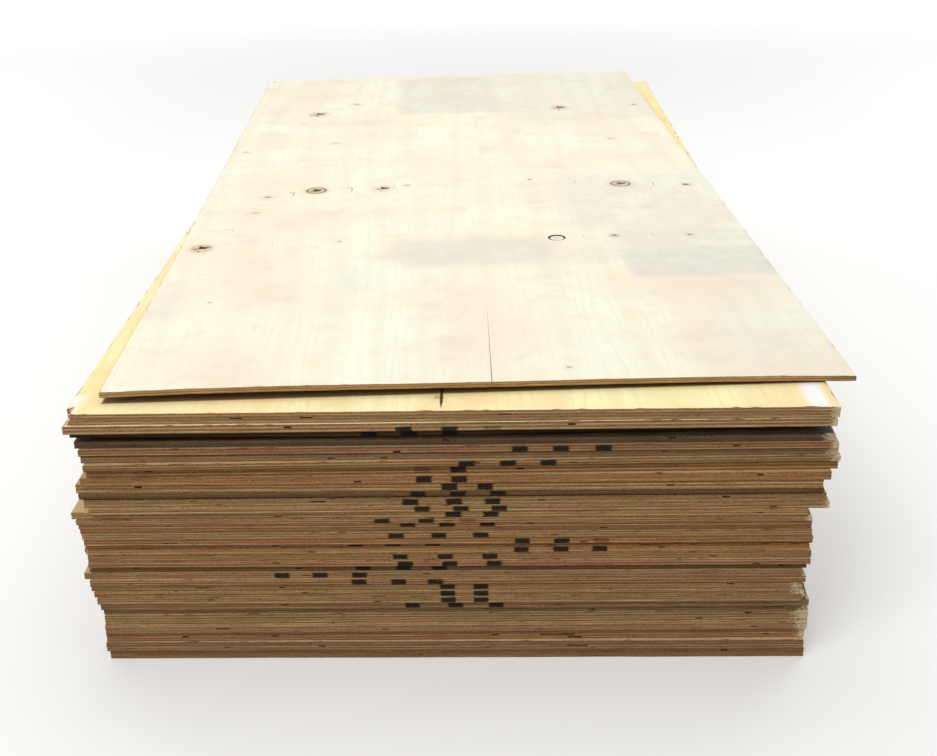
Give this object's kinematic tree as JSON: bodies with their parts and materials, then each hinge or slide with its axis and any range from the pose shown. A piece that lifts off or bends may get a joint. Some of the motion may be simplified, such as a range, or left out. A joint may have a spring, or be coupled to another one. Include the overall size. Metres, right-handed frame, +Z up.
{
  "type": "stack of plywood sheets",
  "caption": "Loose flat stack of full-size softwood plywood sheets in several thicknesses, edges staggered, the thin top sheet warped and laid askew.",
  "frame": {"origin": "middle of the footprint on the floor, on the underside of the bottom sheet", "axes": "+Y along the sheets' length and face grain, away from the front ends that the picture shows, +X across their width to the right, +Z up"},
  "size_m": [1.3303, 2.5341, 0.5228],
  "materials": {
    "softwood_plywood": "sawn edges, unsanded rotary-cut softwood veneer",
    "dull_plywood": "greyed sawn edges, unsanded veneer",
    "bright_pine_plywood": "fresh yellow pine face veneer, sawn edges",
    "pale_face_plywood": "dry pale rotary-cut face veneer with knots, sawn edges"
  },
  "bodies": {
    "root": {"sheet_01": "softwood_plywood", "sheet_02": "softwood_plywood", "sheet_03": "softwood_plywood", "sheet_04": "softwood_plywood", "sheet_05": "softwood_plywood", "sheet_06": "dull_plywood", "sheet_07": "softwood_plywood", "sheet_08": "softwood_plywood", "sheet_09": "softwood_plywood", "sheet_10": "softwood_plywood", "sheet_11": "softwood_plywood", "sheet_12": "softwood_plywood", "sheet_13": "softwood_plywood", "sheet_14": "softwood_plywood", "sheet_15": "softwood_plywood", "sheet_16": "softwood_plywood", "sheet_17": "softwood_plywood", "sheet_18": "softwood_plywood", "sheet_19": "softwood_plywood", "sheet_20": "softwood_plywood", "sheet_21": "softwood_plywood", "sheet_22": "softwood_plywood", "sheet_23": "softwood_plywood", "sheet_24": "softwood_plywood", "sheet_25": "softwood_plywood", "sheet_26": "dull_plywood", "sheet_27": "softwood_plywood", "sheet_28": "softwood_plywood", "sheet_29": "softwood_plywood", "sheet_30": "softwood_plywood", "sheet_31": "softwood_plywood", "sheet_32": "softwood_plywood", "sheet_33": "softwood_plywood", "sheet_34": "dull_plywood", "sheet_35": "bright_pine_plywood", "sheet_36": "bright_pine_plywood", "sheet_37": "pale_face_plywood"}
  },
  "joints": []
}
